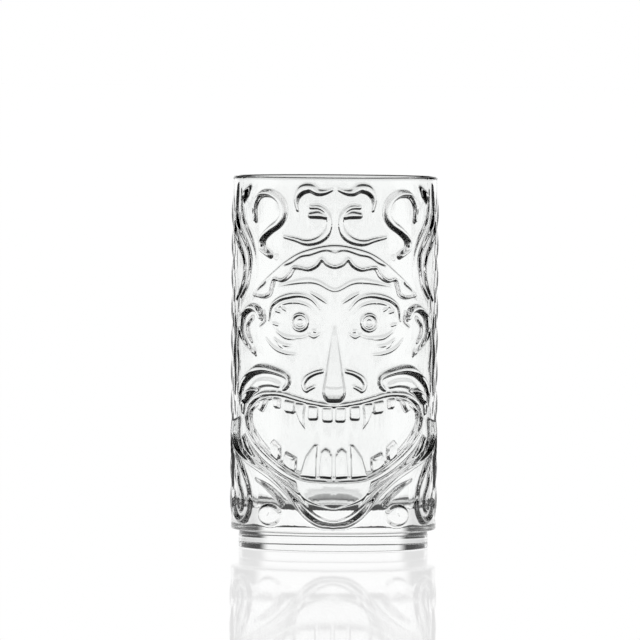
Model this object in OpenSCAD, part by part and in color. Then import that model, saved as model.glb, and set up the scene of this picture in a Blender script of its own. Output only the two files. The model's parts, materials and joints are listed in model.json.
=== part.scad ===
// Pressed-glass tiki tumbler: a straight tumbler with a thick base and a stepped-in stacking foot,
// carrying a fanged carved mask in relief. +Y is the plain back, the mask looks towards -Y, and the
// origin is on the axis at the level that the foot stands on. Every named region is its own solid.

/* [Tumbler] */
// Outer diameter of the plain wall
body_d = 80; // [66:0.5:98]
// Overall height
height = 145; // [120:1:176]
// Wall thickness at the mouth
wall_t = 2.6; // [2.1:0.1:3.2]
// How much thicker the wall is where it meets the floor
wall_draft = 1.2; // [0.8:0.1:1.6]
// Height of the straight band inside the mouth
mouth_h = 22; // [14:1:30]
// Height of the rounded rim bead
rim_h = 2.6; // [2.2:0.1:3]

/* [Base] */
// Thickness of the solid glass between the shoulder and the floor
base_t = 9; // [7:0.5:12]
// Radius of the rounded shoulder above the foot
shoulder_r = 1.6; // [0.8:0.1:2]
// Radius of the rounded corner between the floor and the wall
floor_r = 2.5; // [1.5:0.5:4]

/* [Foot] */
// Gap all round between this foot and the mouth of the tumbler that it stacks in
stack_gap = 0.4; // [0.2:0.05:0.5]
// Height of the foot
foot_h = 7; // [5.5:0.5:9]
// Radius of the rounded lower edge of the foot
foot_r = 1.5; // [0.8:0.1:2]

/* [Relief heights] */
// Height of the thin locks, wrinkles and lids
fine_h = 0.9; // [0.6:0.1:1.2]
// Height of the scrolls, loops, ears and curls
scroll_h = 1.3; // [0.8:0.1:1.6]
// Height of the scalloped head band
band_h = 1.1; // [0.7:0.1:1.4]
// Height of the lips and the folds of the jaw
lip_h = 1.6; // [1:0.1:2]
// Height of the teeth
tooth_h = 1.2; // [0.8:0.1:1.5]
// Height of the fangs
fang_h = 1.5; // [1:0.1:1.8]
// Height of the chin
chin_h = 1.9; // [1.2:0.1:2.4]
// Height of the tip of the nose
nose_h = 4.5; // [3:0.1:5.5]
// Height of the nose at the brow
nose_root_h = 1; // [0.5:0.1:2]

/* [Face] */
// Distance of each eye from the middle, along the wall
eye_s = 13.3; // [12:0.1:14.5]
// Radius of the iris
iris_r = 3.2; // [2.6:0.1:3.8]
// Width of the nose at its tip
nose_w = 9.6; // [8:0.1:10.5]
// Width of the lips
lip_w = 2.4; // [1.6:0.1:2.8]
// Width of the scrolls and loops
scroll_w = 2.6; // [1.8:0.1:3]
// Width of the locks of hair
lock_w = 2.6; // [1.8:0.1:3]

/* [Hidden] */
$fn = 96;

body_r = body_d / 2;
mouth_r = body_r - wall_t;
floor_wall_r = mouth_r - wall_draft;
foot_out_r = mouth_r - stack_gap;
floor_z = foot_h + base_t;
rim_z = height - rim_h;
mouth_z = rim_z - mouth_h;
rim_bead_r = wall_t / 2;

// The mask is drawn on a field of this size and stretched to fit the wall
field_r = 40;
field_foot = 7;
field_top = 145;
stretch_s = body_r / field_r;
stretch_z = (height - foot_h) / (field_top - field_foot);
stretch_r = min(stretch_s, stretch_z);
degree = 180 / PI;
steps = 5;            // points in each stretch of a smooth curve
cap_steps = 4;        // points in each rounded end
gum_gap = 0.35;       // gap between a lip and the teeth

// Directions that the regions of the mask are pressed in, in degrees round from the front
front = 0;
cheek = 50;
side = 84;

// A point of the field, laid on the wall and seen along the pressing direction a
function place_z(z) = foot_h + (z - field_foot) * stretch_z;
function lay(p, a) = [body_r * sin(p[0] * stretch_s / body_r * degree - a), place_z(p[1])];

// Smooth curve through the points of a path
function spline(a, b, c, d, t) = 0.5 * (2 * b + (c - a) * t + (2 * a - 5 * b + 4 * c - d) * t * t
    + (3 * b - a - 3 * c + d) * t * t * t);
function smooth(p) = let (n = len(p) - 1) concat(
    [for (i = [0:n - 1]) for (k = [0:steps - 1])
        spline(p[max(i - 1, 0)], p[i], p[i + 1], p[min(i + 2, n)], k / steps)],
    [p[n]]);
function reversed(p) = [for (i = [len(p) - 1:-1:0]) p[i]];

// A path that starts on the middle line, carried on to the other side of the mask
function both_sides(p) = concat([for (q = reversed(p)) if (q[0] > 0) [-q[0], q[1]]], p);

// Width of a ribbon at t, from its start, its middle and its end
function blend(a, b, t) = a + (b - a) * (3 - 2 * t) * t * t;
function width_at(w, t) = t < 0.5 ? blend(w[0], w[1], t * 2) : blend(w[1], w[2], t * 2 - 1);
function unit(v) = v / norm(v);
function heading(p, i) = unit(p[min(i + 1, len(p) - 1)] - p[max(i - 1, 0)]);
function across(v) = [-v[1], v[0]];
function edge(p, w, sign) = [for (i = [0:len(p) - 1])
    p[i] + across(heading(p, i)) * sign * width_at(w, i / (len(p) - 1)) / 2];
function round_end(c, v, r) = [for (k = [1:cap_steps - 1])
    let (t = 90 - 180 * k / cap_steps) c + v * cos(t) * r + across(v) * sin(t) * r];

// A ribbon with rounded ends along a smooth path; w is its width at the start, middle and end
function ribbon(path, w) = let (p = smooth(path), n = len(p) - 1) concat(
    edge(p, w, 1),
    round_end(p[n], heading(p, n), w[2] / 2),
    reversed(edge(p, w, -1)),
    round_end(p[0], -heading(p, 0), w[0] / 2));
function ring_points(c, r, n) = [for (i = [0:n - 1]) c + r * [cos(i * 360 / n), sin(i * 360 / n)]];

// The layer of glass of height h over the wall
module layer(h) {
    rotate_extrude() translate([body_r, foot_h]) square([h, height - foot_h]);
}

// A shape pressed outwards by h, once on the front
module press_middle(shape, h) {
    intersection() {
        rotate([90, 0, 0]) linear_extrude(body_r + h + 1) polygon([for (p = shape) lay(p, front)]);
        layer(h);
    }
}

// A shape pressed outwards by h in the direction a, on both sides of the mask
module press(shape, h, a) {
    for (hand = [1, -1]) intersection() {
        rotate([90, 0, hand * a]) linear_extrude(body_r + h + 1)
            polygon([for (p = shape) let (q = lay(p, a)) [hand * q[0], q[1]]]);
        layer(h);
    }
}

module wall() {
    corner_s = floor_wall_r - floor_r;
    corner_z = floor_z + floor_r;
    color("lightcyan") rotate_extrude() difference() {
        translate([0, floor_z]) square([body_r, rim_z - floor_z]);
        translate([0, mouth_z]) square([mouth_r, mouth_h + 1]);
        translate([corner_s, corner_z]) circle(floor_r);
        polygon([[0, floor_z - 1], [corner_s, floor_z - 1], [corner_s, corner_z],
            [floor_wall_r, corner_z], [mouth_r, mouth_z], [mouth_r, mouth_z + 1],
            [0, mouth_z + 1]]);
    }
}

module rim() {
    color("azure") rotate_extrude() intersection() {
        translate([mouth_r, rim_z]) square([wall_t, rim_h]);
        union() {
            translate([mouth_r, 0]) square([wall_t, height - rim_bead_r]);
            translate([mouth_r + rim_bead_r, height - rim_bead_r]) circle(rim_bead_r);
        }
    }
}

module base() {
    color("lightblue") rotate_extrude() union() {
        translate([0, foot_h]) square([body_r - shoulder_r, base_t]);
        translate([0, foot_h + shoulder_r]) square([body_r, base_t - shoulder_r]);
        translate([body_r - shoulder_r, foot_h + shoulder_r]) circle(shoulder_r);
    }
}

module foot() {
    color("powderblue") rotate_extrude() union() {
        square([foot_out_r - foot_r, foot_h]);
        translate([0, foot_r]) square([foot_out_r, foot_h - foot_r]);
        translate([foot_out_r - foot_r, foot_r]) circle(foot_r);
    }
}

module crown_hooks() {
    path = [[2, 140.2], [6.5, 139.4], [10.5, 140.8], [14, 138.6], [14.8, 134.8], [13.4, 132]];
    color("lightsteelblue") press(ribbon(path, [0.8, scroll_w, 1.2]), scroll_h, front);
}

module crown_scrolls() {
    path = [[10.5, 133.8], [6.5, 134.2], [3.4, 132.4], [2.2, 128.5], [3.2, 124.5], [7, 121.6],
        [12, 120.9], [16, 122.2], [19.5, 122.2]];
    color("lightsteelblue") press(ribbon(path, [1, scroll_w, 1.2]), scroll_h, front);
}

module side_loops() {
    path = [[34.6, 129.5], [35, 134.5], [31.5, 138.4], [26.5, 138.6], [22, 135.8], [20.6, 131],
        [22.8, 127.2], [27, 125], [30.6, 121.6], [31, 117.6], [27.4, 114.8]];
    color("lightsteelblue") press(ribbon(path, [1.2, scroll_w, 1.6]), scroll_h, cheek);
}

module temple_leaves() {
    path = [[38.2, 140.9], [41, 138.6], [43.4, 135.2]];
    color("paleturquoise") press(ribbon(path, [0.8, 2.8, 0.8]), scroll_h, cheek);
}

module upper_locks() {
    path = [[50, 138], [49.6, 130.5], [47, 124.6], [42.5, 120], [38.9, 114.8], [38.6, 109],
        [40.4, 103], [45.6, 98]];
    color("paleturquoise") press(ribbon(path, [1.2, lock_w, 1]), scroll_h, cheek);
}

// The head band: a smooth arch above, and a row of scallops below
module brow_band() {
    arch = [[0, 118.6], [9, 117.4], [16.5, 114.2], [26.8, 106.8], [36, 99.4]];
    scallops = [[0, 109.9], [2.6, 110.6], [5.3, 112.8], [10.6, 108.8], [16.4, 109.6],
        [20.8, 104.8], [25.2, 104.8], [26.8, 99.6], [30.5, 97.8], [35, 98.6]];
    color("skyblue") press_middle(
        concat(smooth(both_sides(arch)), reversed(smooth(both_sides(scallops)))), band_h);
}

module frown_ridges() {
    upper = [[0, 101], [6.5, 104], [12.5, 104.4], [20.5, 102]];
    lower = [[3.6, 96.6], [6.6, 99], [9.4, 100.3]];
    color("lightcyan") {
        press_middle(ribbon(both_sides(upper), [0.6, 1.4, 0.6]), fine_h);
        press(ribbon(lower, [0.6, 1, 0.6]), fine_h, front);
    }
}

module eyelids() {
    path = [[27.4, 90.6], [26.2, 95], [22, 97.9], [15.5, 98.8], [9.4, 96.6], [5.6, 91.6]];
    color("azure") press(ribbon(path, [0.8, 1.8, 0.8]), scroll_h, front);
}

module irises() {
    color("white") press(ring_points([eye_s, 89.2], iris_r * stretch_r, 32), fine_h, front);
}

module eye_bags() {
    outer = [[30, 83.4], [27, 80], [21.5, 77.2], [14.5, 76.6]];
    inner = [[24.6, 83.4], [19.6, 81.2], [14, 80.6], [9, 82.4], [6, 84.6]];
    color("azure") {
        press(ribbon(outer, [0.6, 1.4, 0.6]), fine_h, front);
        press(ribbon(inner, [0.6, 1.1, 0.6]), fine_h, front);
    }
}

module ears() {
    helix = [[31.2, 91.6], [34.6, 93.6], [40, 92.6], [43.8, 88.6], [43.4, 83.4], [40, 79.6],
        [36, 77]];
    concha = [[36.4, 89.2], [39.4, 87], [39, 83.4]];
    color("lightblue") {
        press(ribbon(helix, [1.4, 2.2, 1]), scroll_h, cheek);
        press(ribbon(concha, [1, 1.6, 0.8]), fine_h, cheek);
    }
}

// The nose rises evenly from the brow to its rounded tip
module nose() {
    top_z = 84;
    tip_z = 61;
    low_z = 58;
    tip_s = nose_w / 2;
    outline = [[0, top_z], [1.3, top_z], [1.6, 80], [2.7, 73], [4.1, 66], [tip_s, 62.4],
        [tip_s - 0.8, 59.6], [2, 58.5], [0, 58.2]];
    half = smooth(outline);
    color("aliceblue") intersection() {
        rotate([90, 0, 0]) linear_extrude(body_r + nose_h + 1)
            polygon([for (p = concat(half, [for (q = reversed(half)) if (q[0] > 0) [-q[0], q[1]]]))
                lay(p, front)]);
        rotate_extrude() polygon([[body_r, place_z(low_z)], [body_r + nose_h * 0.8, place_z(low_z)],
            [body_r + nose_h, place_z(tip_z)], [body_r + nose_root_h, place_z(top_z)],
            [body_r, place_z(top_z)]]);
    }
}

module nostrils() {
    path = [[4.9, 69.6], [8.4, 68.2], [11, 66.2], [11.6, 63.8], [9.8, 62.8]];
    color("lightblue") press(ribbon(path, [0.8, 1.8, 1]), scroll_h, front);
}

module cheek_curls() {
    path = [[44.6, 58.6], [44.6, 62.4], [41.4, 66.4], [36, 69.4], [29.5, 70.4], [23.4, 69],
        [20.2, 66.2], [21.4, 63.6]];
    color("powderblue") press(ribbon(path, [1.6, 3, 1.2]), lip_h, cheek);
}

module upper_lip() {
    path = [[0, 56.2], [7, 57], [16, 59.2], [24, 60.9], [31, 61], [36.4, 58.4], [38.9, 53.6]];
    color("aliceblue") press_middle(ribbon(both_sides(path), [lip_w, lip_w, lip_w]), lip_h);
}

module lower_lip() {
    path = [[0, 26.1], [5, 26.2], [12, 26.8], [19, 29.4], [25.6, 33.6], [31.6, 38], [36.4, 43],
        [38.8, 48], [38.9, 50.4]];
    color("aliceblue") press_middle(ribbon(both_sides(path), [lip_w, lip_w, lip_w]), lip_h);
}

// A tooth with its root at z0 and its rounded free end at z1
module tooth(s0, s1, z0, z1, r) {
    d = sign(z1 - z0);
    press([[s0, z0], [s1, z0], [s1, z1 - d * r], [s1 - r, z1], [s0 + r, z1], [s0, z1 - d * r]],
        tooth_h, front);
}

module upper_teeth() {
    gum = lip_w / 2 + gum_gap;
    color("white") {
        tooth(0.6, 4.4, 56.3 - gum, 50.4, 0.8);
        tooth(6, 10, 56.7 - gum, 51, 0.8);
        tooth(15.4, 19.6, 58.9 - gum, 53.6, 0.8);
        tooth(21.8, 24.8, 60.2 - gum, 55.2, 0.6);
        press([[27.2, 58.6], [30, 58.6], [32, 55], [30.2, 54.2]], tooth_h, front);
    }
}

module upper_fangs() {
    path = [[13, 56.6 - lip_w / 2], [12.4, 51.6], [10.9, 47]];
    color("white") press(ribbon(path, [2.6, 2.2, 0.5]), fang_h, front);
}

module lower_teeth() {
    color("white") {
        press([[21.6, 42.8], [25, 42.4], [26.2, 37.2], [23, 35], [21.4, 38]], tooth_h, front);
        press([[14.8, 36.6], [19.2, 38.6], [20, 33.6], [15.6, 30.8]], tooth_h, front);
    }
}

module lower_fangs() {
    root_w = 4.4;
    root_z = 26.8 + lip_w / 2 + gum_gap + root_w / 2;
    path = [[11, root_z], [10, 35], [8.2, 38.6], [6.9, 42]];
    color("white") press(ribbon(path, [root_w, 2.8, 0.4]), fang_h, front);
}

module front_teeth() {
    outline = [[0.4, 28.4], [0.4, 36.4], [1.6, 39], [3.4, 39.8], [4.8, 38.2], [5.8, 28.6]];
    color("white") press(outline, tooth_h, front);
}

module chin() {
    top = [[0, 24.4], [6, 24.4], [12, 24.6], [14.4, 23]];
    bottom = [[0, 11.8], [4, 12.4], [8.4, 14.6], [12.4, 18.4], [14.4, 22.4]];
    color("powderblue") press_middle(
        concat(smooth(both_sides(top)), reversed(smooth(both_sides(bottom)))), chin_h);
}

module jaw_folds() {
    path = [[47, 49], [47.2, 43.6], [44, 38.6], [38, 34.6], [31, 31.4], [24.6, 27.8], [19, 23.2],
        [16.2, 19.4]];
    color("lightsteelblue") press(ribbon(path, [1.4, 2.6, 1]), lip_h, cheek);
}

module lower_curls() {
    path = [[33.6, 27], [28.4, 24.4], [23.6, 21], [20.8, 16.2], [23.4, 11.6], [28.4, 11.2],
        [31, 14.8], [28.6, 18]];
    color("lightblue") press(ribbon(path, [0.8, 2.2, 1.4]), scroll_h, cheek);
}

module lower_locks() {
    path = [[51, 48], [50.8, 40], [46.2, 34], [41.4, 28.4], [38.6, 22.6], [38.4, 16.6],
        [42.4, 12.2], [47.6, 13]];
    color("paleturquoise") press(ribbon(path, [1, lock_w, 1.6]), scroll_h, cheek);
}

// A column of slanted, leaf-shaped knots down each side, beside the mould's parting line
module side_braids() {
    knots = 9;
    pitch = 12.4;
    first_z = 17;
    color("azure") for (i = [0:knots - 1])
        let (z = first_z + i * pitch)
        press(ribbon([[57.4, z], [60.4, z + pitch * 0.4], [62.6, z + pitch * 0.86]],
            [0.6, 3.6, 0.8]), fine_h, side);
}

wall();
rim();
base();
foot();
crown_hooks();
crown_scrolls();
side_loops();
temple_leaves();
upper_locks();
brow_band();
frown_ridges();
eyelids();
irises();
eye_bags();
ears();
nose();
nostrils();
cheek_curls();
upper_lip();
lower_lip();
upper_teeth();
upper_fangs();
lower_teeth();
lower_fangs();
front_teeth();
chin();
jaw_folds();
lower_curls();
lower_locks();
side_braids();
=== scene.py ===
import json
import math

import bpy
import numpy as np
from mathutils import Matrix, Vector


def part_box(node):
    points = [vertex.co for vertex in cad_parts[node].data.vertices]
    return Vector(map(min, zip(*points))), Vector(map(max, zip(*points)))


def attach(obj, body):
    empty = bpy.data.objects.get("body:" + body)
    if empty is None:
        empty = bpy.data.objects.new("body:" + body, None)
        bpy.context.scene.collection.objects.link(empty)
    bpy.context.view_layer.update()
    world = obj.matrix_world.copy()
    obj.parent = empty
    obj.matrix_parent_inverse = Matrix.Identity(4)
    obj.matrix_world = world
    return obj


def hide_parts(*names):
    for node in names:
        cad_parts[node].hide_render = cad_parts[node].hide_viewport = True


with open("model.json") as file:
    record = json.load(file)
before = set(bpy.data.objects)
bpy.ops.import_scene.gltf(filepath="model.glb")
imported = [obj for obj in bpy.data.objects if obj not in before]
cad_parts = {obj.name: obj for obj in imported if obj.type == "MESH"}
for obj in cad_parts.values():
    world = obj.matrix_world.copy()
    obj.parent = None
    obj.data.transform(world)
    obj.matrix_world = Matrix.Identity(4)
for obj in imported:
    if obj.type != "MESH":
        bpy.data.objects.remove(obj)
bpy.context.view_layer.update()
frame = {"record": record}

mounts = {m["name"]: m for m in frame["record"]["mounts"]}
nodeNames = [n["node"] for n in frame["record"]["subparts"]]
print("frame loaded:", len(nodeNames), "nodes")


# a long lens, set above the tumbler and looking slightly down; metres, degrees and millimetres
view = {"distance": 3.6, "height": 0.2023, "pitch": 1.809, "yaw": -0.0908, "roll": 0.374, "lens": 518.3,
        "sensor": 36, "clip": (0.1, 60)}


def makeCamera():
    data = bpy.data.cameras.new("camera")
    data.lens = view["lens"]
    data.sensor_width = view["sensor"]
    data.clip_start, data.clip_end = view["clip"]
    camera = bpy.data.objects.new("camera", data)
    bpy.context.scene.collection.objects.link(camera)
    pitch, yaw, roll = (math.radians(view[k]) for k in ("pitch", "yaw", "roll"))
    forward = Vector((math.sin(yaw) * math.cos(pitch), math.cos(yaw) * math.cos(pitch), -math.sin(pitch)))
    right = Vector((math.cos(yaw), -math.sin(yaw), 0))
    up = right.cross(forward)
    tilted = right * math.cos(roll) + up * math.sin(roll)
    up = up * math.cos(roll) - right * math.sin(roll)
    turn = Matrix((tilted, up, -forward)).transposed()
    camera.matrix_world = Matrix.Translation((0, -view["distance"], view["height"])) @ turn.to_4x4()
    bpy.context.scene.camera = camera


makeCamera()
bpy.context.scene.view_settings.view_transform = "Standard"


class Signal:
    # a socket that takes part in Python sums
    def __init__(self, shader, socket):
        self.shader, self.socket = shader, socket

    def maths(self, operation, *others, first=None):
        values = [self if first is None else first, *others]
        return self.shader.node("ShaderNodeMath", {"operation": operation}, dict(enumerate(values)))

    def __add__(self, other):
        return self.maths("ADD", other)

    def __radd__(self, other):
        return self.maths("ADD", self, first=other)

    def __sub__(self, other):
        return self.maths("SUBTRACT", other)

    def __rsub__(self, other):
        return self.maths("SUBTRACT", self, first=other)

    def __mul__(self, other):
        return self.maths("MULTIPLY", other)

    def __rmul__(self, other):
        return self.maths("MULTIPLY", self, first=other)

    def ramp(self, low, high, fromValue=0.0, toValue=1.0):
        return self.shader.node("ShaderNodeMapRange", {"interpolation_type": "SMOOTHSTEP"},
                                {"Value": self, "From Min": low, "From Max": high,
                                 "To Min": fromValue, "To Max": toValue})


class Shader:
    def __init__(self, owner):
        owner.use_nodes = True
        self.tree = owner.node_tree
        self.tree.nodes.clear()

    def node(self, kind, settings=None, inputs=None, output=0):
        made = self.tree.nodes.new(kind)
        for name, value in (settings or {}).items():
            setattr(made, name, value)
        for name, value in (inputs or {}).items():
            if isinstance(value, Signal):
                self.tree.links.new(value.socket, made.inputs[name])
            else:
                made.inputs[name].default_value = value
        return Signal(self, made.outputs[output]) if made.outputs else None


# a white wall behind and a white window to each side, dark between them and overhead; bearings in degrees
# from straight behind the mask, the same to both sides, and rises as the sine of the angle above level
room = {"wall": (31, 40), "window": (68, 73, 108, 113), "darkLevel": 0.02,
        "topStart": 0.1, "topEnd": 0.28, "topLevel": 0.02}


def makeRoom():
    world = bpy.data.worlds.new("room")
    bpy.context.scene.world = world
    shader = Shader(world)
    direction = shader.node("ShaderNodeTexCoord")
    axes = shader.node("ShaderNodeSeparateXYZ", inputs={"Vector": direction})
    east, north, rise = (Signal(shader, s) for s in axes.socket.node.outputs)
    bearing = east.maths("ARCTAN2", north).maths("ABSOLUTE") * (180 / math.pi)
    opens, full, closes, shut = room["window"]
    window = bearing.ramp(opens, full) * bearing.ramp(closes, shut, 1.0, 0.0)
    panel = bearing.ramp(*room["wall"], 1.0, 0.0) + window
    panel = room["darkLevel"] + panel * (1 - room["darkLevel"])
    light = panel * rise.ramp(room["topStart"], room["topEnd"], 1.0, room["topLevel"])
    seen = shader.node("ShaderNodeLightPath")
    level = seen.maths("MAXIMUM", light)        # the camera itself sees plain white
    backdrop = shader.node("ShaderNodeBackground", inputs={"Color": level, "Strength": 1.0})
    shader.node("ShaderNodeOutputWorld", inputs={"Surface": backdrop})


makeRoom()


# painted light: the floor glows instead of being lit, white at a low angle and painted dark from above; the
# shine grows towards a low angle
floorLook = {"radius": 30.0, "drop": 0.0002, "gloss": 0.25, "roughness": 0.03, "steepGlow": 0.05,
             "steepFrom": (0.44, 0.62), "shineFrom": (0.3, 0.8), "cloudScale": 3.0}


def makeFloor():
    material = bpy.data.materials.new("white_gloss_floor")
    shader = Shader(material)
    where = shader.node("ShaderNodeTexCoord", output=3)
    cloud = shader.node("ShaderNodeTexNoise",
                        inputs={"Vector": where, "Scale": floorLook["cloudScale"], "Detail": 2.0})
    edgeOn = shader.node("ShaderNodeLayerWeight", inputs={"Blend": 0.5}, output=1)
    # painted light and painted shade: the floor's own glow, white when seen at a low angle and dark when
    # seen from above
    level = 1 - (1 - edgeOn).ramp(*floorLook["steepFrom"]) * (1 - floorLook["steepGlow"])
    glow = shader.node("ShaderNodeEmission", inputs={"Color": level, "Strength": 1.0})
    mirror = shader.node("ShaderNodeBsdfGlossy", inputs={
        "Color": (1, 1, 1, 1), "Roughness": floorLook["roughness"] * (0.9 + 0.2 * cloud)})
    shine = floorLook["gloss"] * edgeOn.ramp(*floorLook["shineFrom"])
    both = shader.node("ShaderNodeMixShader", inputs={0: shine, 1: glow, 2: mirror})
    shader.node("ShaderNodeOutputMaterial", inputs={"Surface": both})
    mesh = bpy.data.meshes.new("floor")
    size, low = floorLook["radius"], -floorLook["drop"]
    corners = [(x * size, y * size, low) for x, y in ((-1, -1), (1, -1), (1, 1), (-1, 1))]
    mesh.from_pydata(corners, [], [(0, 1, 2, 3)])
    floor = bpy.data.objects.new("floor", mesh)
    bpy.context.scene.collection.objects.link(floor)
    mesh.materials.append(material)


makeFloor()
print("camera, room and floor made")


glassLook = {"ior": 1.5, "tint": (0.985, 0.992, 0.988, 1.0), "waveScale": 90.0, "waveHeight": 0.02,
             "waveDepth": 0.001, "cloudScale": 25.0, "roughness": 0.012, "roughFrom": (0.45, 0.75)}


def makeGlass():
    material = bpy.data.materials.new("fire_polished_glass")
    shader = Shader(material)
    where = shader.node("ShaderNodeTexCoord", output=3)
    wave = shader.node("ShaderNodeTexNoise",
                       inputs={"Vector": where, "Scale": glassLook["waveScale"], "Detail": 1.0})
    cloud = shader.node("ShaderNodeTexNoise",
                        inputs={"Vector": where, "Scale": glassLook["cloudScale"], "Detail": 3.0})
    ripple = shader.node("ShaderNodeBump", inputs={
        "Strength": glassLook["waveHeight"], "Distance": glassLook["waveDepth"], "Height": wave})
    body = shader.node("ShaderNodeBsdfPrincipled", inputs={
        "Base Color": glassLook["tint"],
        "Roughness": glassLook["roughness"] * cloud.ramp(*glassLook["roughFrom"]),
        "IOR": glassLook["ior"], "Transmission Weight": 1.0, "Normal": ripple})
    shader.node("ShaderNodeOutputMaterial", inputs={"Surface": body})
    return material


glass = makeGlass()


# the mask is drawn in millimetres, along the wall from the middle and above the table

def smoothPath(points, steps=6):
    p = np.array(points, float)
    ends = np.vstack([2 * p[0] - p[1], p, 2 * p[-1] - p[-2]])
    if points[0][0] == 0:
        ends[0] = p[1] * (-1, 1)       # crosses the middle line squarely
    t = np.linspace(0, 1, steps, endpoint=False)[:, None]
    out = []
    for a, b, c, d in zip(ends[:-3], ends[1:-2], ends[2:-1], ends[3:]):
        out.append(0.5 * (2 * b + (c - a) * t + (2 * a - 5 * b + 4 * c - d) * t**2
                          + (3 * b - a - 3 * c + d) * t**3))
    return np.vstack([*out, p[-1:]])


def acrossMiddle(path, points=4):
    # carries a path that starts on the middle line a little way over it
    return np.vstack([path[points:0:-1] * (-1, 1), path])


ridgeLook = {"reach": 0.5, "underCut": 0.2, "flank": 0.8, "slope": 0.62, "taper": 0.25, "domeReach": 3}


class Relief:
    # heights over a field of points; the mask is the same on both hands
    def __init__(self, s, z):
        self.s, self.z = np.abs(s), z
        self.height = np.zeros_like(z)

    def near(self, path, reach):
        low, high = path.min(0) - reach, path.max(0) + reach
        return (self.s > low[0]) & (self.s < high[0]) & (self.z > low[1]) & (self.z < high[1])

    def distance(self, path, spots):
        # how far off a path is, how far along it the nearest point lies, and how far above
        px, pz = self.s[spots], self.z[spots]
        best, along, under = np.full(px.shape, 1e9), np.zeros(px.shape), np.zeros(px.shape)
        lengths = np.hypot(*np.diff(path, axis=0).T)
        total, run = lengths.sum(), 0.0
        for (ax, az), (bx, bz), length in zip(path[:-1], path[1:], lengths):
            if length > 0:
                t = np.clip(((px - ax) * (bx - ax) + (pz - az) * (bz - az)) / length**2, 0, 1)
                d = np.hypot(px - ax - t * (bx - ax), pz - az - t * (bz - az))
                closer = d < best
                best[closer] = d[closer]
                along[closer] = (run + t[closer] * length) / total
                under[closer] = (az + t * (bz - az) - pz)[closer]
            run += length
        return best, along, under

    def put(self, spots, lift, how):
        now = self.height[spots]
        if how == "over":
            self.height[spots] = np.maximum(now, lift)
        else:
            self.height[spots] = now + lift

    def ridge(self, points, widths, lift, how="over", curve=True, slope=ridgeLook["slope"]):
        # ridge with a gently crowned top, steeper on its lower side; widths at its start, middle and end
        path = smoothPath(points) if curve else np.array(points, float)
        spots = self.near(path, max(widths) / 2 + ridgeLook["reach"])
        d, along, under = self.distance(path, spots)
        half = np.interp(along, (0, 0.5, 1), widths) / 2
        edge = slope - ridgeLook["underCut"] * under / np.maximum(d, 1e-6)
        flank = ridgeLook["flank"]
        top = np.clip(1 - (d / half)**2, 0, 1)
        across = flank * np.clip((half - d) / edge, 0, 1) + (1 - flank) * top
        tapered = lift * np.minimum(1, half / (max(widths) / 2) + ridgeLook["taper"])
        self.put(spots, tapered * across, how)

    def plateau(self, outline, lift, ramp=0.9, dome=0.0, how="over"):
        # raised shape with a steep edge inside its outline, and a slight dome
        path = np.vstack([outline, outline[:1]])
        spots = self.near(path, ridgeLook["reach"])
        d, _, _ = self.distance(path, spots)
        px, pz = self.s[spots], self.z[spots]
        inside = np.zeros(px.shape, bool)
        for (ax, az), (bx, bz) in zip(path[:-1], path[1:]):
            if az != bz:
                crosses = ((az > pz) != (bz > pz)) & (px < (bx - ax) * (pz - az) / (bz - az) + ax)
                inside ^= crosses
        rise = np.where(inside, np.clip(d / ramp, 0, 1), 0)
        self.put(spots, (lift + dome * (1 - np.exp(-d / ridgeLook["domeReach"]))) * rise, how)

    def ring(self, centre, radius, width, lift):
        turns = np.linspace(0, 2 * math.pi, 33)
        path = np.array(centre) + radius * np.column_stack([np.cos(turns), np.sin(turns)])
        self.ridge(path, (width, width, width), lift, curve=False)


crown = {
    "hook": [(1.2, 140.4), (4, 139.4), (6.8, 139.4), (10, 141.2), (13.4, 139.8), (15.2, 136.4),
             (14.8, 132.4)],
    "bar": [(3.6, 130), (6.4, 130.6), (9.6, 130.4)],
    "groove": [(11, 133), (6.6, 133.6), (3, 131.8)], "grooveUps": (1.9, 0.4),
    "scroll": [(9.6, 133.6), (6, 133.4), (3.2, 131.2), (2.2, 127.6), (3.2, 123.6), (6.4, 120.8),
               (11, 119.8), (15.6, 121), (20.5, 122)],
    "loop": [(35, 128), (35.4, 133.5), (32, 138), (26.5, 138.6), (22, 135.8), (20.6, 131), (22.8, 127.2),
             (27, 124.4), (30.6, 121), (30.6, 117.2), (26.8, 114.8)],
    "leaf": [(38.2, 141.6), (41, 138.8), (43.4, 135)],
    "bead": (24, 114),
    "strand": [(49, 142), (49.6, 130.5), (47, 124.6), (42.5, 120), (38.9, 114.8), (38.6, 109), (40.4, 103),
               (45.6, 98)],
    "backStrand": [(46, 140), (44.8, 132), (42.6, 126.4), (38.8, 122.2), (35.8, 117), (34.4, 111)],
    "outerStrand": [(55, 131), (51.5, 123), (46.6, 117.4), (43.2, 112.6), (42.6, 107.4), (44.6, 102),
                    (50, 97)],
}


def pressCrown(r):
    r.ridge(crown["hook"], widths=(1.4, 4.4, 1.6), lift=2.5, slope=1.1)
    r.ridge(crown["bar"], widths=(2.4, 3.2, 2.4), lift=2.3, slope=1.1)
    r.ridge(crown["scroll"], widths=(1.6, 3, 1.2), lift=1.9)
    for up in crown["grooveUps"]:
        r.ridge([(s, z + up) for s, z in crown["groove"]], widths=(0.5, 0.9, 0.5), lift=-0.4, how="add")
    r.ridge(crown["loop"], widths=(1.8, 3.6, 2.8), lift=2.6, slope=1)
    r.ridge(crown["leaf"], widths=(1.2, 3.4, 1), lift=2.2, slope=1.2)
    r.ridge(crown["strand"], widths=(1.2, 3, 1.4), lift=1.2)
    r.ridge(crown["backStrand"], widths=(0.8, 2.2, 0.8), lift=0.9)
    r.ridge(crown["outerStrand"], widths=(1.2, 2.8, 1.4), lift=1.1)
    r.ring(crown["bead"], radius=0.8, width=0.9, lift=0.6)


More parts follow.
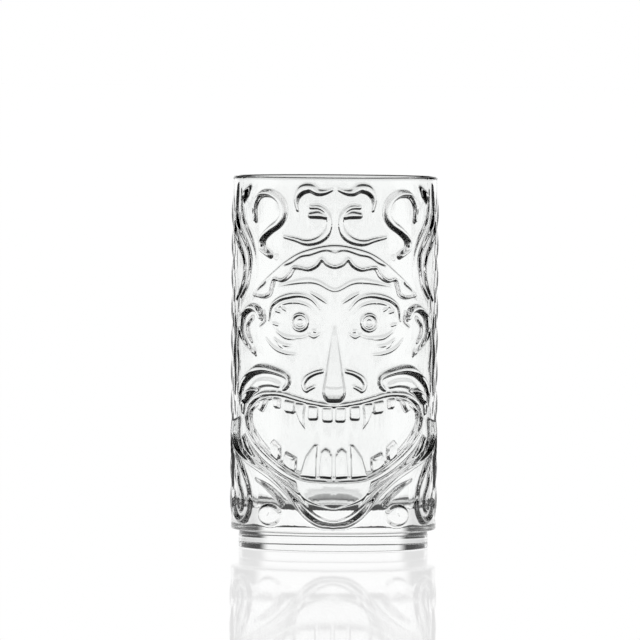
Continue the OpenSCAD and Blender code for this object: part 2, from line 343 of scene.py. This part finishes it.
band = {
    "arch": [(0, 119), (9, 117.5), (16.5, 114.5), (27, 107), (37, 99)],
    "thin": [(0, 115.5), (4, 116.5), (9, 114.5), (13, 114), (16.5, 111.5), (22, 110), (27, 106.5),
             (28.5, 103)],
    "scallops": [(0, 110), (3, 111), (5, 113), (7, 110.5), (10, 109), (13.5, 109.5), (16, 109.5),
                 (18, 106.5), (21, 104.5), (24.5, 105), (26, 101.5), (27, 99), (30, 98), (34.5, 98.5)],
    "brow": [(0, 101.5), (6.5, 104.5), (12, 105), (23, 103)],
    "frown": [(3, 96.5), (6.5, 99), (9.5, 100.5)],
    "hemUp": 0.7, "weltDown": 1.2,
}


def pressBand(r):
    arch, thin, low = (acrossMiddle(smoothPath(band[k])) for k in ("arch", "thin", "scallops"))
    r.plateau(np.vstack([arch, low[::-1]]), lift=1.1, ramp=0.5)
    hem = low[low[:, 0] >= 0] + (0, band["hemUp"])
    r.ridge(hem, widths=(1.7, 1.7, 1.3), lift=2.8, curve=False, slope=0.9)
    r.plateau(np.vstack([arch, thin[::-1]]), lift=0.45, ramp=0.7, how="add")
    welt = np.array(band["arch"]) - (0, band["weltDown"])
    r.ridge(welt, widths=(2.2, 2.2, 1.4), lift=0.3, how="add")
    r.ridge(band["brow"], widths=(1.6, 2.4, 1), lift=0.6)
    r.ridge(band["frown"], widths=(0.8, 1.6, 0.8), lift=1)


eye = {
    "centre": (13.5, 89), "iris": 3.1, "pupil": 1.5,
    "lid": [(27.5, 89.5), (26.5, 94.5), (23, 97.5), (18.5, 99), (13.5, 99.5), (9, 98), (5.5, 94)],
    "fold": [(25.6, 91), (22.4, 95.2), (16.5, 96.8), (10.6, 95.6), (7, 92.2)],
    "socket": [(27, 89.5), (22, 84.5), (14, 83), (8.5, 85), (4.5, 89)],
    "bags": [[(29, 82.5), (25, 79), (20, 77), (15, 76.5)], [(25, 82.6), (21, 80.2), (17, 79.8)],
             [(24, 85.4), (19.6, 83), (15.6, 82.4)], [(10.5, 84.6), (8, 83.4), (5.4, 84.8)],
             [(23.2, 80.6), (20.6, 78.8)], [(8.8, 86), (6.6, 85.2)]],
    "lashes": [[(24.6, 93.6), (21.6, 92.6)], [(25.6, 88.4), (22.6, 87.6)], [(19.4, 93.4), (21.8, 95)]],
}


def pressEyes(r):
    r.ridge(eye["lid"], widths=(1, 2.2, 0.8), lift=1.3)
    r.ridge(eye["fold"], widths=(0.8, 1.4, 0.6), lift=0.8)
    r.ridge(eye["socket"], widths=(0.6, 1.4, 0.6), lift=0.5)
    r.ring(eye["centre"], eye["iris"], width=1.2, lift=2.2)
    r.ring(eye["centre"], eye["pupil"], width=0.9, lift=1.2)
    for line in eye["bags"]:
        r.ridge(line, widths=(0.7, 1.4, 0.7), lift=0.9)
    for line in eye["lashes"]:
        r.ridge(line, widths=(0.8, 1.3, 0.6), lift=1.1)


ear = {
    "helix": [(31, 90.6), (33.6, 93.6), (38, 94), (43.6, 90.4), (44.4, 84.6), (41, 80.4), (36, 76.8)],
    "bowl": [(36.6, 90.4), (39.6, 87.4), (39.2, 83.6), (37, 80.6)],
    "front": [(30, 93), (29.6, 89.4), (32.6, 87)],
    "lobe": [(35.6, 78.4), (34.6, 75.6)],
}


def pressEars(r):
    r.ridge(ear["helix"], widths=(3, 2.6, 1.4), lift=2, slope=0.8)
    r.ridge(ear["bowl"], widths=(1.6, 2.2, 0.8), lift=1.2)
    r.ridge(ear["front"], widths=(1, 1.4, 0.8), lift=0.8)
    r.ridge(ear["lobe"], widths=(1, 1.8, 1), lift=1)


# the half width and the lift are given at heights above the table
nose = {
    "halfWidth": ((58.4, 3.2), (60.5, 4.5), (63, 4.7), (68, 3.8), (75, 2.7), (81, 1.7), (86, 1.2)),
    "lift": ((58.4, 3.2), (61.5, 4.5), (70, 3.4), (78, 2.3), (84, 1.3), (88, 0)),
    "bridge": [(0, 64.4), (1.6, 64.4), (3, 64.8)],
    "wing": [(4.6, 70.2), (7.6, 69.4), (10.6, 67.6), (12, 65), (11, 62.6), (9.2, 63.4), (7.6, 64.2)],
    "crease": [(5, 72), (8, 70.9), (11.5, 69)],
    "tip": 57.6, "tipRound": 1.7, "root": 88, "flank": 0.9, "flankWidth": 0.35,
}


def pressNose(r):
    r.ridge(nose["wing"], widths=(1.6, 2.2, 1.2), lift=1.7)
    r.ridge(nose["crease"], widths=(0.4, 0.9, 0.4), lift=0.4)
    half = np.interp(r.z, *zip(*nose["halfWidth"]))
    lift = np.interp(r.z, *zip(*nose["lift"]))
    u = r.s / half
    flank = nose["flank"]
    across = flank * np.clip((1 - u) / nose["flankWidth"], 0, 1) + (1 - flank) * np.clip(1 - u * u, 0, 1)
    end = np.clip((r.z - nose["tip"]) / nose["tipRound"], 0, 1)
    spots = (r.s < half) & (r.z > nose["tip"]) & (r.z < nose["root"])
    r.put(spots, (lift * across * np.sin(end * math.pi / 2))[spots], "over")
    r.ridge(nose["bridge"], widths=(2, 2, 1), lift=-0.5, how="add", slope=0.9)


cheek = {
    "curl": [(46, 56), (45.8, 60), (43.4, 64), (39.5, 67.2), (34.6, 69.8), (29, 70.6), (23, 69.6),
             (18.8, 67.8), (18.2, 65.2), (20.2, 62.8)],
    "pad": [(40.5, 58), (37, 62), (32.4, 64.8), (27, 65.4), (22.8, 64.6)],
    "corner": [(42.4, 53), (42.2, 57.4), (39.6, 61)],
    "almond": [(33, 62.6), (37, 61.6), (41.4, 58)],
    "gums": [[(17.8, 65), (16.6, 61.2)], [(15.6, 64), (14.4, 61)], [(11.4, 61.6), (11.2, 59.2)],
             [(9.8, 61.8), (9.6, 58.8)], [(8, 61.8), (7.8, 58.6)], [(6.6, 60.6), (6.4, 58.2)]],
}


def pressCheeks(r):
    r.ridge(cheek["curl"], widths=(1, 3.8, 2), lift=2.6, slope=1.2)
    r.ridge(cheek["pad"], widths=(2.4, 4.2, 3), lift=0.9, slope=1)
    r.ridge(cheek["almond"], widths=(2, 4, 2.4), lift=3, slope=1.5)
    for line in cheek["gums"]:
        r.ridge(line, widths=(0.6, 0.9, 0.6), lift=0.8)
    r.ridge(cheek["corner"], widths=(1.4, 2.4, 1), lift=1.7)


lips = {
    "upper": [(0, 56.8), (6.7, 57.6), (11.6, 58.6), (15.9, 59.8), (20.7, 61), (25.6, 61.2), (31, 60.4),
              (36, 57.6), (39, 53), (39.2, 48.6)],
    "lower": [(0, 26.6), (5, 26.7), (12, 27.4), (19, 30.4), (25.6, 34.6), (31.4, 39), (36, 43.6),
              (38.8, 47.6), (39.4, 51)],
    "inner": [(0, 28.6), (8, 28.8), (12.6, 30), (20.5, 34.1), (28.1, 39.6), (35, 46.2), (37.2, 50.6),
              (36.6, 54.4), (32, 57.6), (26, 59.4)],
}


def pressLips(r):
    r.ridge(lips["upper"], widths=(1.9, 2, 3), lift=1.7)
    r.ridge(lips["lower"], widths=(2.4, 3.2, 3.2), lift=2)
    r.ridge(lips["inner"], widths=(0.8, 1.6, 1.2), lift=1.3)


teeth = {
    "upper": [[(0.5, 56), (0.4, 50.8), (1.2, 50.3), (4, 50.4), (4.5, 51), (4.6, 56)],
              [(5.9, 56.4), (6, 51.8), (6.6, 51.2), (9.6, 51.1), (10.1, 51.8), (10, 56.6)],
              [(15, 58), (15.2, 54.2), (16, 53.5), (19.2, 53.9), (19.9, 54.6), (19.8, 58.8)],
              [(21.4, 59.2), (21.7, 55.4), (24.6, 55.6), (24.9, 59.8)],
              [(27.2, 59), (30.6, 58.8), (32.6, 54.6), (30.4, 53.8), (29, 55.6)]],
    "fang": [(11, 57.4), (15.2, 57.8), (14.9, 54), (13.4, 50.4), (10.7, 46.8), (11.4, 50), (11.4, 53)],
    "lower": [[(21.2, 40.4), (24.6, 43.3), (26, 41.8), (25.8, 37.8), (22.2, 34.6), (21.2, 36.8)],
              [(14.2, 36.2), (19.4, 38.9), (20.2, 34.2), (17.6, 31.8), (14.6, 30.8)]],
    "bevel": [[(24.6, 43.2), (22.6, 40.4), (22.8, 35.6)], [(19.2, 38.6), (17.6, 35.8), (17.4, 32)],
              [(14.4, 35.8), (17.4, 36.4)]],
    "lowFang": [(6.4, 28.6), (6.4, 36), (6, 41.6), (7.6, 41.6), (11, 36.8), (13.4, 29)],
    "front": [(0.5, 28.6), (0.4, 37), (1.6, 39.4), (3.2, 40.4), (5, 38.8), (5.4, 34), (5.8, 28.8)],
    "core": [(1.4, 30), (1.6, 34.4), (2.6, 36.4), (4, 34.6), (4.2, 30.6)],
}


def pressTeeth(r):
    for outline in teeth["upper"]:
        r.plateau(outline, lift=1.9, ramp=0.5)
    r.plateau(teeth["fang"], lift=2, ramp=0.5)
    for outline in teeth["lower"]:
        r.plateau(outline, lift=1.9, ramp=0.5)
    for line in teeth["bevel"]:
        r.ridge(line, widths=(0.8, 1, 0.8), lift=-0.6, how="add", curve=False)
    r.plateau(teeth["lowFang"], lift=1.9, ramp=0.5, dome=0.3)
    r.plateau(teeth["front"], lift=1.8, ramp=0.5, dome=0.2)
    r.ridge(teeth["core"], widths=(0.7, 0.9, 0.7), lift=-0.35, how="add")


jaw = {
    "chinTop": [(0, 26.6), (5, 26.7), (12, 27.4), (15.4, 28.4)],
    "chinEdge": [(0, 16.5), (4, 17.4), (8.3, 18.8), (11.4, 20.6), (14.4, 23.6)],
    "chinLow": [(0, 11.5), (4, 12.5), (8.5, 15), (10.5, 17.5), (13, 21.5)],
    "fold": [(46.6, 50), (47, 44.4), (44.4, 39.4), (38, 35.2), (31, 32), (24.6, 28.6), (18.6, 23.6),
             (14.4, 18.6), (10.6, 14.2), (5.6, 10.8), (0, 9.9)],
    "crease": [(41.6, 44), (37.6, 39), (31.6, 34.8), (25, 31), (18, 26.6), (13.6, 23)],
    "curlTail": [(34.4, 27.6), (28.4, 25), (23.8, 21.8), (21, 18.4)],
    "lobe": (26.6, 13.9), "lobeR": 6, "lobeFlat": 0.74, "lobeLine": [(27.6, 13), (26, 15.6), (26.4, 17.8)],
    "lock": [(50.4, 49), (50.4, 40), (46, 34.4), (41, 28.4), (38.4, 22.6), (37.6, 17), (40.6, 12),
             (46, 11.4), (50.2, 14.6), (51.6, 19)],
    "lockInner": [(48.8, 33), (46.6, 26), (43.2, 20.4), (43.4, 16), (46.4, 15.6), (47.6, 19)],
    "outerLock": [(56, 52), (55.6, 42), (53.6, 34), (54.6, 26), (53.4, 20)],
}


def pressJaw(r):
    top, edge, low = (acrossMiddle(smoothPath(jaw[k])) for k in ("chinTop", "chinEdge", "chinLow"))
    r.plateau(np.vstack([top, low[::-1]]), lift=1, ramp=0.9, dome=0.1)
    r.plateau(np.vstack([top, edge[::-1]]), lift=0.8, ramp=0.5, dome=0.1, how="add")
    r.ridge(jaw["fold"], widths=(2.6, 3.6, 2), lift=3.2, slope=1)
    r.ridge(jaw["crease"], widths=(1.8, 3, 1.6), lift=2.8, slope=1.1)
    turns = np.linspace(0, 2 * math.pi, 40, endpoint=False)
    oval = np.column_stack([np.cos(turns), np.sin(turns) * jaw["lobeFlat"]])
    r.plateau(np.array(jaw["lobe"]) + jaw["lobeR"] * oval, lift=1.2, ramp=1.2, dome=0.5)
    r.ridge(jaw["curlTail"], widths=(0.8, 2.4, 2.6), lift=1.9, slope=0.8)
    r.ridge(jaw["lobeLine"], widths=(0.5, 1, 0.5), lift=-0.4, how="add")
    r.ridge(jaw["lock"], widths=(1.4, 3, 1.8), lift=1.5)
    r.ridge(jaw["lockInner"], widths=(0.8, 2, 1.2), lift=0.8)
    r.ridge(jaw["outerLock"], widths=(1, 2.8, 1), lift=1.2)


# knots climb both sides; each is placed along the wall and as a share of the pitch
sides = {
    "knots": 10, "pitch": 12.4, "first": 13.0, "knotAt": ((57.6, 0), (60.6, 0.42), (63.4, 0.9)),
    "hair": [(52.6, 92), (50.6, 84), (52.6, 76), (50.8, 68), (52, 60)],
    "innerHair": [(48.6, 92), (47.4, 86), (48.8, 79), (47.4, 72), (49, 65)],
    "longHair": [(56, 136), (54.4, 124), (55.8, 112), (54.2, 100), (55.8, 88), (54.4, 74), (55.8, 60),
                 (54.6, 50)],
}


def pressSides(r):
    for i in range(sides["knots"]):
        z = sides["first"] + i * sides["pitch"]
        knot = [(s, z + sides["pitch"] * share) for s, share in sides["knotAt"]]
        r.ridge(knot, widths=(1.6, 4.2, 1.6), lift=0.5, slope=1.4)
    r.ridge(sides["hair"], widths=(1, 2.8, 1), lift=0.8)
    r.ridge(sides["innerHair"], widths=(1, 2.2, 1), lift=0.6)
    r.ridge(sides["longHair"], widths=(1, 2, 1), lift=0.5)


# millimetres; what the frame gives is read from it
tumbler = {
    "bodyR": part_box("wall")[1].x * 1000, "height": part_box("rim")[1].z * 1000,
    "mouthR": mounts["mouth"]["dims"]["r_mm"], "footR": mounts["stacking_foot"]["dims"]["r_mm"],
    "footH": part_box("base")[0].z * 1000, "floorZ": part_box("wall")[0].z * 1000,
    "draft": 1.2, "mouthH": 22, "mouthEase": 1.3, "shoulderFillet": 0.7, "footFillet": 0.3,
    "cornerLean": 52, "cornerRun": 2.6, "cornerLow": 1.2, "cornerHigh": 2.5,
    "fineStep": 0.32, "sideStep": 0.8, "backStep": 3.6, "rowStep": 0.34, "maskEdge": 52, "sideEdge": 68,
    "fadeLow": 2.2, "fadeHigh": 2, "plainRows": (4, 6), "triangles": 192000,
}


def stations():
    # places round the wall: close together under the mask, wider apart behind
    t = tumbler
    girth = math.pi * t["bodyR"]
    fine = np.arange(0, t["maskEdge"], t["fineStep"])
    side = np.arange(t["maskEdge"], t["sideEdge"], t["sideStep"])
    back = np.linspace(t["sideEdge"], girth, round((girth - t["sideEdge"]) / t["backStep"]) + 1)
    half = np.concatenate([fine, side, back])
    return np.concatenate([half, -half[-2:0:-1]])


def arc(cx, cz, r, start, end, steps):
    turns = np.radians(np.linspace(start, end, steps + 1))
    return np.column_stack([cx + r * np.cos(turns), cz + r * np.sin(turns)])


def innerCorner(wallR):
    # the floor turns up through a sloping band that looks dark from outside
    t = tumbler
    lean, low, high = math.radians(t["cornerLean"]), t["cornerLow"], t["cornerHigh"]
    run = t["cornerRun"] * np.array([math.sin(lean), math.cos(lean)])
    highZ = t["floorZ"] + low * (1 - math.sin(lean)) + run[1] + high * math.sin(lean)
    upper = arc(wallR - high, highZ, high, -t["cornerLean"], 0, 6)
    lowR = upper[0, 0] - run[0] - low * math.cos(lean)
    lower = arc(lowR, t["floorZ"] + low, low, -90, -t["cornerLean"], 4)
    return np.vstack([lower, upper])


def profile():
    # one closed line, from the middle of the inner floor over the rim to the middle of the underside
    t = tumbler
    rim = (t["bodyR"] - t["mouthR"]) / 2
    rimZ = t["height"] - rim
    lowR, sh, ft = t["mouthR"] - t["draft"], t["shoulderFillet"], t["footFillet"]
    inside = [(r, t["floorZ"]) for r in (0, 8, 16, 24, 29)]
    corner = innerCorner(lowR)
    top = rimZ - t["mouthH"] - t["mouthEase"]
    innerZ = np.linspace(corner[-1][1] + 1, top, 8)
    innerR = lowR + t["draft"] * np.clip((innerZ - corner[-1][1]) / (top - corner[-1][1]), 0, 1)
    wallIn = np.column_stack([innerR, innerZ])
    straight = [(t["mouthR"], top + 0.5), (t["mouthR"], top + 12), (t["mouthR"], rimZ - 0.6)]
    lip = arc(t["mouthR"] + rim, rimZ, rim, 180, 0, 12)
    rows = round((rimZ - 0.4 - t["footH"] - sh) / t["rowStep"])
    wallZ = np.linspace(rimZ - 0.4, t["footH"] + sh, rows)
    wallOut = np.column_stack([np.full(rows, t["bodyR"]), wallZ])
    shoulder = arc(t["bodyR"] - sh, t["footH"] + sh, sh, 0, -90, 8)[1:]
    neck = [(t["footR"] + 0.5, t["footH"]), (t["footR"] + 0.15, t["footH"] - 0.12),
            (t["footR"], t["footH"] - 0.5)]
    foot = [(t["footR"], t["footH"] / 2), (t["footR"], ft + 0.3)]
    edge = arc(t["footR"] - ft, ft, ft, 0, -90, 6)
    under = [(t["footR"] - ft - 0.6, 0), (24, 0), (10, 0), (0, 0)]
    parts = [inside, corner, wallIn, straight, lip, wallOut, shoulder, neck, foot, edge, under]
    start = sum(len(p) for p in parts[:5])
    return np.vstack([np.array(p, float) for p in parts]), start, rows


def soften(h):
    padded = np.pad(h, ((1, 1), (0, 0)), "edge")
    h = (padded[:-2] + 4 * padded[1:-1] + padded[2:]) / 6
    return (np.roll(h, 1, 1) + 4 * h + np.roll(h, -1, 1)) / 6


def reliefOf(columns, wallZ):
    s, z = np.meshgrid(columns, wallZ)
    r = Relief(s, z)
    for press in (pressCrown, pressSides, pressEars, pressCheeks, pressJaw, pressBand, pressEyes, pressLips,
                  pressTeeth, pressNose):
        press(r)
    fade = np.clip((z - wallZ.min()) / tumbler["fadeLow"], 0, 1)
    fade = fade * np.clip((wallZ.max() - z) / tumbler["fadeHigh"], 0, 1)
    return soften(r.height * fade)


def flatBlank():
    # the tumbler unrolled: x is the way round in radians, y the radius and z the height, in metres
    columns = stations()
    line, start, rows = profile()
    relief = np.zeros((len(line), len(columns)))
    relief[start:start + rows] = reliefOf(columns, line[start:start + rows, 1])
    n, m = len(line), len(columns)
    place = np.zeros((n, m, 3))
    place[..., 0] = columns / tumbler["bodyR"]
    place[..., 1] = line[:, :1] / 1000
    place[..., 2] = line[:, 1:] / 1000
    row, col = np.meshgrid(np.arange(n - 1), np.arange(m), indexing="ij")
    after = (col + 1) % m
    faces = np.stack([row * m + col, (row + 1) * m + col, (row + 1) * m + after, row * m + after], -1)
    mesh = bpy.data.meshes.new("tumbler")
    mesh.from_pydata(place.reshape(-1, 3), [], faces.reshape(-1, 4).tolist())
    mesh.attributes.new("relief", "FLOAT", "POINT").data.foreach_set("value", relief.ravel() / 1000)
    fromRim, fromShoulder = tumbler["plainRows"]       # rows that keep all their faces
    return mesh, list(range((start + fromRim) * m, (start + rows - fromShoulder) * m))


def wrapTree():
    # rolls the blank round the axis and presses the mask outwards
    tree = bpy.data.node_groups.new("press_and_roll", "GeometryNodeTree")
    face = tree.interface
    face.new_socket("Blank", in_out="INPUT", socket_type="NodeSocketGeometry")
    face.new_socket("Relief Height", in_out="INPUT", socket_type="NodeSocketFloat")
    face.new_socket("Weld Distance", in_out="INPUT", socket_type="NodeSocketFloat")
    face.new_socket("Glass", in_out="INPUT", socket_type="NodeSocketMaterial")
    face.new_socket("Tumbler", in_out="OUTPUT", socket_type="NodeSocketGeometry")

    def add(kind, settings=None, inputs=None):
        made = tree.nodes.new(kind)
        for name, value in (settings or {}).items():
            setattr(made, name, value)
        for name, value in (inputs or {}).items():
            if isinstance(value, bpy.types.NodeSocket):
                tree.links.new(value, made.inputs[name])
            else:
                made.inputs[name].default_value = value
        return made.outputs

    def maths(operation, a, b=0.0):
        return add("ShaderNodeMath", {"operation": operation}, {0: a, 1: b})[0]

    given = add("NodeGroupInput")
    flat = add("ShaderNodeSeparateXYZ", inputs={0: add("GeometryNodeInputPosition")[0]})
    lift = add("GeometryNodeInputNamedAttribute", {"data_type": "FLOAT"}, {"Name": "relief"})[0]
    radius = maths("ADD", flat[1], maths("MULTIPLY", lift, given[1]))
    x = maths("MULTIPLY", radius, maths("SINE", flat[0]))
    y = maths("MULTIPLY", maths("MULTIPLY", radius, maths("COSINE", flat[0])), -1.0)
    place = add("ShaderNodeCombineXYZ", inputs={0: x, 1: y, 2: flat[2]})[0]
    rolled = add("GeometryNodeSetPosition", inputs={"Geometry": given[0], "Position": place})[0]
    welded = add("GeometryNodeMergeByDistance", inputs={"Geometry": rolled, "Distance": given[2]})[0]
    smooth = add("GeometryNodeSetShadeSmooth", inputs={0: welded})[0]
    real = add("GeometryNodeRealizeInstances", inputs={"Geometry": smooth})[0]
    done = add("GeometryNodeSetMaterial", inputs={"Geometry": real, "Material": given[3]})[0]
    add("NodeGroupOutput", inputs={0: done})
    return tree


pressing = {"Relief Height": 1.0, "Weld Distance": 1e-6, "Glass": glass}


def pressTumbler():
    mesh, wallPoints = flatBlank()
    blank = bpy.data.objects.new("blank", mesh)
    bpy.context.scene.collection.objects.link(blank)
    modifier = blank.modifiers.new("press", "NODES")
    modifier.node_group = wrapTree()
    for item in modifier.node_group.interface.items_tree:
        if item.name in pressing:
            modifier[item.identifier] = pressing[item.name]
    thin = blank.modifiers.new("thin", "DECIMATE")      # fewer faces where the wall is plain
    blank.vertex_groups.new(name="wall").add(wallPoints, 1.0, "REPLACE")
    thin.vertex_group = "wall"
    thin.ratio = tumbler["triangles"] / (2 * len(blank.data.polygons))
    bpy.context.view_layer.update()
    evaluated = blank.evaluated_get(bpy.context.evaluated_depsgraph_get())
    mesh = bpy.data.meshes.new_from_object(evaluated)
    mesh.name = "tumbler_glass"
    piece = bpy.data.objects.new("tumbler_glass", mesh)
    bpy.context.scene.collection.objects.link(piece)
    bpy.data.objects.remove(blank)
    return piece


piece = pressTumbler()
triangles = sum(len(p.vertices) - 2 for p in piece.data.polygons)
print("tumbler pressed:", len(piece.data.vertices), "points,", triangles, "triangles")

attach(piece, "root")
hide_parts(*nodeNames)

cycles = bpy.context.scene.cycles
cycles.max_bounces, cycles.transmission_bounces, cycles.glossy_bounces = 24, 24, 12

print("done")
